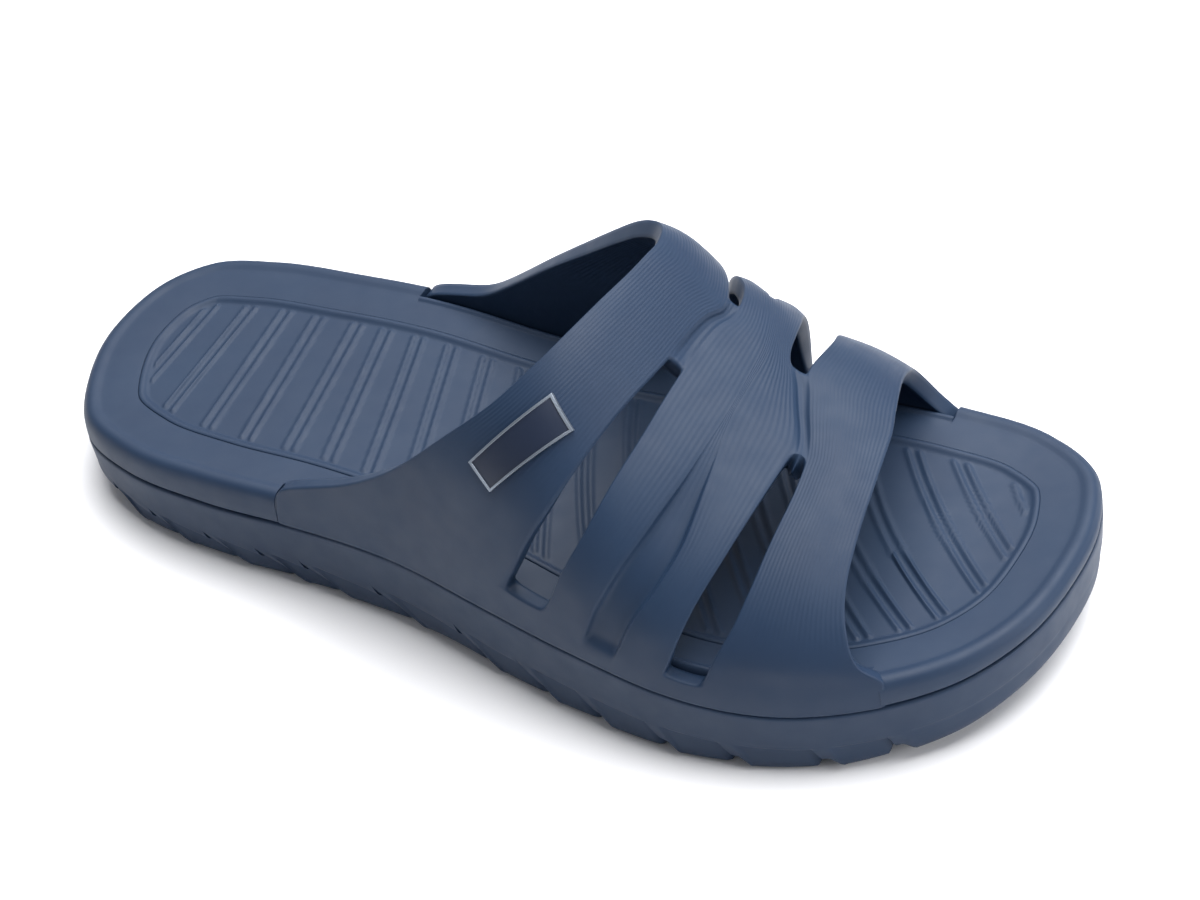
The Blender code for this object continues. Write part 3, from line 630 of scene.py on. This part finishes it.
panel_rings = [
    # inset, rise from the rim, way to the middle, ribs
    (PANEL_INSET + 0.6 * MM, GAP - RECESS_DEPTH, CLOSED, 0),
    (PANEL_INSET + 0.6 * MM, GAP - RECESS_DEPTH, 0.5, 0), (PANEL_INSET + 0.6 * MM, GAP - RECESS_DEPTH, 0, 0),
    (PANEL_INSET + 0.3 * MM, 0.9 * MM - RECESS_DEPTH, 0, 0),
    (PANEL_INSET + 0.2 * MM, -1.7 * MM, 0, 0), (PANEL_INSET - 0.1 * MM, -1.3 * MM, 0, 0),
    (PANEL_INSET + 0.2 * MM, -1.08 * MM, 0, 0), (PANEL_INSET + 0.7 * MM, -0.98 * MM, 0, 0),
    (PANEL_INSET + 1.2 * MM, -1.08 * MM, 0, 0), (PANEL_INSET + 1.7 * MM, -1.4 * MM, 0, 0),
    (PANEL_INSET + 2.2 * MM, -1.75 * MM, 0, 0), (PANEL_INSET + 2.8 * MM, -FLOOR_DROP, 0, 0)]
panel_rings += [(PANEL_INSET + 2.8 * MM, -FLOOR_DROP, CLOSED * k / 44, 1) for k in range(1, 45)]
bm = draw_up(marks_round(PANEL_MARKS), panel_rings, panel_shape)
keep_piece("foot_panel", bm, [foam_sole], "footbed", 0)

# Strap cage: a sheet laid over the foot between its collar and its toe edge, its slots cut out.
crown_height, crown_across = smooth_table(CROWN, 1), smooth_table(CROWN, 2)
edge_curves = [smooth_table(EDGES, k) for k in range(1, 9)]


def cage_point(along, over):
    """Outside of the cage: an arch across the foot at one place along it."""
    x = (along - 0.5) * LENGTH
    turn = math.pi * over
    base = parting_height(along) * DECK_HEIGHT + GAP
    top = crown_height(along) * CAGE_HEIGHT
    middle = crown_across(along) * HALF_WIDTH
    outer = over <= 0.5
    inner_fullness = INNER_FULLNESS + (TOE_FULLNESS - INNER_FULLNESS) * ramp((along - TOE_FROM) / TOE_RUN)
    fullness = OUTER_FULLNESS if outer else inner_fullness
    side = (outer_side if outer else inner_side).across(x) - middle + (CAGE_INSET if outer else -CAGE_INSET)
    spread = abs(math.cos(turn)) ** (2 / fullness)
    lift = max(math.sin(turn), 0.0) ** (2 / fullness)
    return Vector((x, middle + side * spread, base + (top - base) * lift))


# Each column of points: its gap between two edges, share of the way across it, moulded lines so far.
columns, line_number = [], 0.0
for gap, (parts, lines) in enumerate(BANDS):
    columns += [(gap, part, line_number + lines * part) for part in parts]
    line_number += lines
columns.append((len(BANDS) - 1, 1.0, line_number))
rows = [OVER_ROWS[0]]
for a, b in zip(OVER_ROWS, OVER_ROWS[1:]):
    rows += [(a + b) / 2, b]


def cage_vertex(column, over):
    """Point of the cage sheet: the ends of the slots are rounded out, and the shaped fields are raised."""
    gap, part, line = column
    wide = over
    for slot_gap, start, stop, round_start, round_stop in SLOTS:
        if slot_gap == gap and 0 < part < 1:
            for end, sign, depth in ((start, -1, round_start), (stop, 1, round_stop)):
                if abs(over - end) < SLACK:
                    wide = over + sign * depth / ARCH_ROUND * (1 - (2 * part - 1) ** 2)
    a, b = edge_curves[gap](wide), edge_curves[gap + 1](wide)
    along = a + (b - a) * part
    near_by = 0.002     # share of a way, small enough for a slope
    d_along = cage_point(along + near_by, wide) - cage_point(along - near_by, wide)
    low, high = max(wide - near_by, 0.0), min(wide + near_by, 1.0)
    normal = d_along.cross(cage_point(along, high) - cage_point(along, low)).normalized()
    rise = 0.0
    for first, last, start, stop, amount, run_up, run_out in FIELDS:
        if first <= gap <= last and start < over < stop:
            near, far = edge_curves[first](wide), edge_curves[last + 1](wide)
            across = (along - near) / (far - near)
            if amount < 0:
                bell = ramp(min(across, 1 - across) / FIELD_EDGE)
            else:
                bell = math.sin(math.pi * max(across, 0.0))
            rise += amount * bell * ramp((over - start) / run_up) * ramp((stop - over) / run_out)
    return cage_point(along, wide) + normal * rise


bm = bmesh.new()
last_column, last_row = len(columns) - 1, len(rows) - 1
bmesh.ops.create_grid(bm, x_segments=last_column, y_segments=last_row, size=0.5)
cell = {v: (round((v.co.x + 0.5) * last_column), round((v.co.y + 0.5) * last_row)) for v in bm.verts}
strap_map = bm.loops.layers.uv.new("strap_lines")
for face in bm.faces:
    for loop in face.loops:
        k, r = cell[loop.vert]
        loop[strap_map].uv = (columns[k][2], rows[r])
for vert, (k, r) in cell.items():
    vert.co = cage_vertex(columns[k], rows[r])
holes = []
for face in bm.faces:
    k = min(cell[v][0] for v in face.verts)
    low = min(rows[cell[v][1]] for v in face.verts)
    high = max(rows[cell[v][1]] for v in face.verts)
    if any(columns[k][0] == gap and start <= low + SLACK and high <= stop + SLACK
           for gap, start, stop, *ends in SLOTS):
        holes.append(face)
bmesh.ops.delete(bm, geom=holes, context="FACES")
# The bottom edge and the corners of its ends stay sharp, and all other edges are rounded.
crease = bm.edges.layers.float.new("crease_edge")
for edge in bm.edges:
    if edge.is_boundary:
        (k1, r1), (k2, r2) = (cell[v] for v in edge.verts)
        overs = (rows[r1], rows[r2])
        if r1 == r2 and r1 in (0, last_row):
            edge[crease] = 1.0
        elif k1 == k2 and k1 in (0, last_column) and (max(overs) <= BASE_OUTER or min(overs) >= BASE_INNER):
            edge[crease] = 1.0
cage = keep_piece("strap_cage", bm, [foam_upper], "upper", 0)
thicken = cage.modifiers.new("Wall", "SOLIDIFY")
thicken.thickness = WALL
thicken.offset = -1
thicken.use_even_offset = True
thicken.edge_crease_outer = 0.55
thicken.edge_crease_inner = 0.4
rounding = cage.modifiers.new("Rounding", "SUBSURF")
rounding.levels = rounding.render_levels = 2

# Side plate: a plain thin plate with straight sides on the outer quarter, with a raised rim.
bpy.context.view_layer.update()
cage_tree = BVHTree.FromObject(cage, bpy.context.evaluated_depsgraph_get())
above = Vector((0, 0, 2 * MM))       # the shaped fields stand out from cage_point, so look from over them
corner = [cage_tree.find_nearest(cage_point(*c) + above)[0] for c in PLATE]
facing = (corner[1] - corner[0]).cross(corner[3] - corner[0]).normalized()
facing = facing if facing.z > 0 else -facing
bm = bmesh.new()
bmesh.ops.create_grid(bm, x_segments=PLATE_LONG, y_segments=PLATE_SHORT, size=0.5)
for face in bm.faces:
    face.material_index = int(any(v.is_boundary for v in face.verts))
for vert in bm.verts:
    s, t = vert.co.x + 0.5, vert.co.y + 0.5
    seat = corner[0].lerp(corner[1], s).lerp(corner[3].lerp(corner[2], s), t)
    hit = cage_tree.ray_cast(seat + facing * RAY_START, -facing)[0]
    vert.co = hit + facing * PLATE_SEAT


def stand_up(bm, faces, height):
    """Extrudes faces of the plate straight out and gives back the faces on top."""
    drawn = bmesh.ops.extrude_face_region(bm, geom=faces)["geom"]
    bmesh.ops.translate(bm, verts=[g for g in drawn if isinstance(g, bmesh.types.BMVert)],
                        vec=facing * height)
    return [g for g in drawn if isinstance(g, bmesh.types.BMFace)]


flat_rim = [f for f in stand_up(bm, list(bm.faces), PLATE_THICKNESS - PLATE_RIM) if f.material_index]
stand_up(bm, flat_rim, PLATE_RIM)
bmesh.ops.delete(bm, geom=flat_rim, context="FACES")      # they would be left inside the raised rim
plate_face = satin_plate("moulded_plate_face", "101C31", 0.4)
plate_rim = satin_plate("brushed_plate_rim", "868F9B", 0.35, 0.8)
plate = keep_piece("side_plate", bm, [plate_face, plate_rim], "badge_plate", 30)
edges = plate.modifiers.new("Edges", "BEVEL")
edges.width = 0.06 * MM
edges.segments = 2
edges.angle_limit = math.radians(40)

# Pale floor, three soft lights, and the camera of the photograph.
FLOOR_HALF = 3.0                     # metres from the middle of the floor to its edge
bm = bmesh.new()
bmesh.ops.create_grid(bm, x_segments=1, y_segments=1, size=FLOOR_HALF)
floor_mesh = bpy.data.meshes.new("studio_floor")
bm.to_mesh(floor_mesh)
bm.free()
floor = bpy.data.objects.new("studio_floor", floor_mesh)
bpy.context.scene.collection.objects.link(floor)
paper = bpy.data.materials.new("matt_white_paper")
paper.use_nodes = True
for key, value in (("Base Color", linear("F6F6F8")), ("Roughness", 0.95), ("Specular IOR Level", 0.1)):
    paper.node_tree.nodes["Principled BSDF"].inputs[key].default_value = value
floor_mesh.materials.append(paper)

SHOE_MIDDLE = Vector((0, 0, 0.03))
LIGHTS = [
    # name, place in metres, side of the square in metres, power in watts
    ("top_light", (0.18, 0.40, 1.25), 1.5, 47), ("back_light", (-0.70, 0.95, 1.10), 1.2, 8),
    ("toe_light", (1.3, 0.10, 0.55), 0.6, 8)]
for name, place, size, power in LIGHTS:
    light = bpy.data.lights.new(name, "AREA")
    light.shape = "SQUARE"
    light.size = size
    light.energy = power
    lamp = bpy.data.objects.new(name, light)
    bpy.context.scene.collection.objects.link(lamp)
    lamp.location = place
    lamp.rotation_euler = (SHOE_MIDDLE - Vector(place)).to_track_quat("-Z", "Y").to_euler()
world = bpy.data.worlds.new("studio")
world.use_nodes = True
world.node_tree.nodes["Background"].inputs["Color"].default_value = linear("F4F6FA")
world.node_tree.nodes["Background"].inputs["Strength"].default_value = 0.3
bpy.context.scene.world = world
bpy.context.scene.view_settings.view_transform = "Standard"

# The camera looks at TARGET from DISTANCE away: turned from the outer side towards the toe, raised, rolled.
TARGET = Vector((4.104, 15.9, 20)) * MM
TURN, RISE, ROLL = math.radians(35.657), math.radians(42.732), math.radians(-9.909)
DISTANCE = 1302.53 * MM
SENSOR_WIDTH, FOCAL_LENGTH = 36, 154.39         # in millimetres, as Blender's camera wants them
back = Vector((math.sin(TURN) * math.cos(RISE), -math.cos(TURN) * math.cos(RISE), math.sin(RISE)))
level = Vector((0, 0, 1)).cross(back).normalized()
rise_axis = back.cross(level)
camera_x = level * math.cos(ROLL) + rise_axis * math.sin(ROLL)
camera_y = rise_axis * math.cos(ROLL) - level * math.sin(ROLL)
camera_data = bpy.data.cameras.new("camera")
camera_data.sensor_width = SENSOR_WIDTH
camera_data.lens = FOCAL_LENGTH
camera = bpy.data.objects.new("camera", camera_data)
bpy.context.scene.collection.objects.link(camera)
camera.matrix_world = Matrix.Translation(TARGET + back * DISTANCE) @ Matrix(
    (camera_x, camera_y, back)).transposed().to_4x4()
bpy.context.scene.camera = camera
